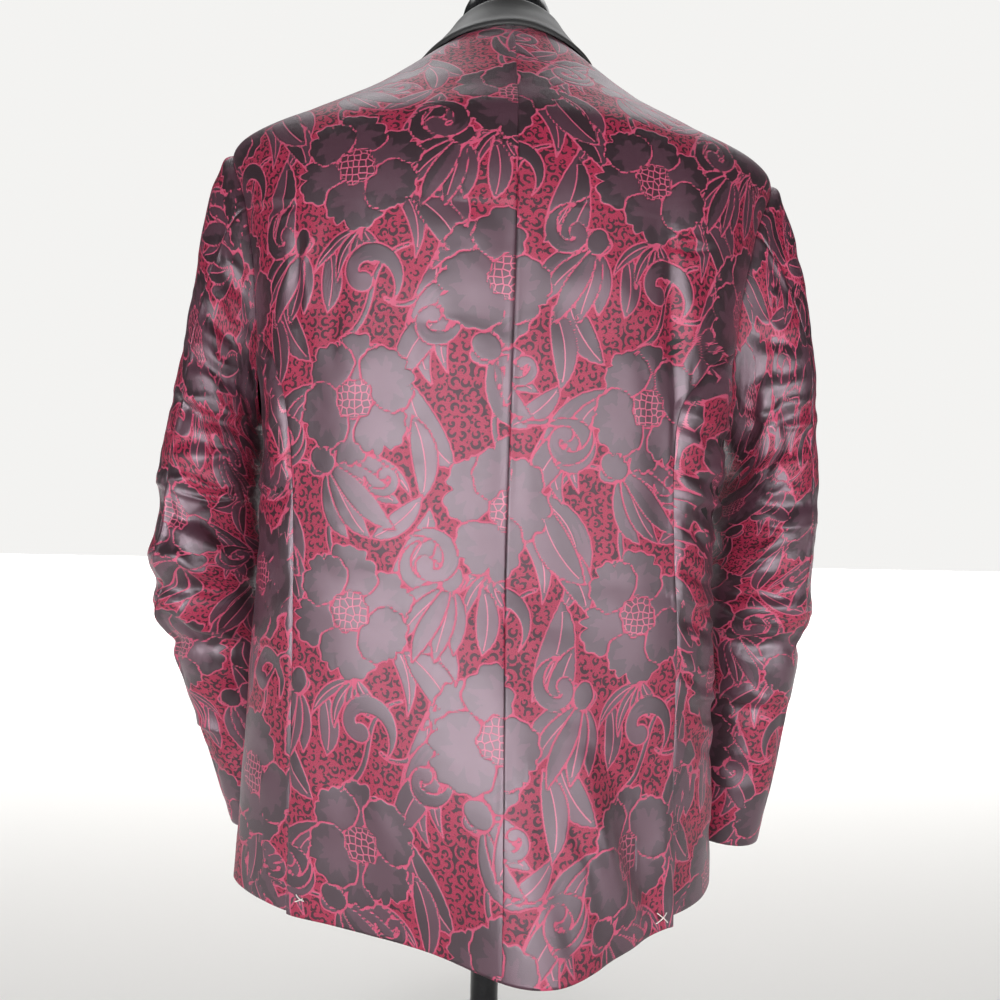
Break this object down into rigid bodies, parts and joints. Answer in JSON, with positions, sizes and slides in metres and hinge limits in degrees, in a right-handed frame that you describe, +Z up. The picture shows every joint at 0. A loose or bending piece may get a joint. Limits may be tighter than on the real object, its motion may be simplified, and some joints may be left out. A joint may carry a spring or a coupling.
{
  "type": "tuxedo jacket on a dress form",
  "caption": "Floral brocade dinner jacket with a black satin shawl collar, hanging open-cuffed on a smooth limbless dress form with a pole and round base.",
  "frame": {"origin": "centre of the base plate's underside, where the stand rests", "axes": "+Z up along the pole, the jacket faces -Y, the wearer's left side is +X"},
  "size_m": [0.5973, 0.3216, 1.0306],
  "materials": {
    "brocade": "satin-faced jacquard",
    "satin": "black satin",
    "form_black": "gloss",
    "metal_black": "semi-gloss"
  },
  "bodies": {
    "root": {"back_left": "brocade", "back_right": "brocade", "side_left": "brocade", "side_right": "brocade", "front_left": "brocade", "front_right": "brocade", "vent_underlap_left": "brocade", "vent_underlap_right": "brocade", "top_sleeve_left": "brocade", "under_sleeve_left": "brocade", "top_sleeve_right": "brocade", "under_sleeve_right": "brocade", "shawl_collar": "satin", "collar_stand": "satin", "front_button": "satin", "dress_form": "form_black", "stand_pole": "metal_black", "pole_socket": "metal_black", "base_plate": "metal_black"}
  },
  "joints": []
}
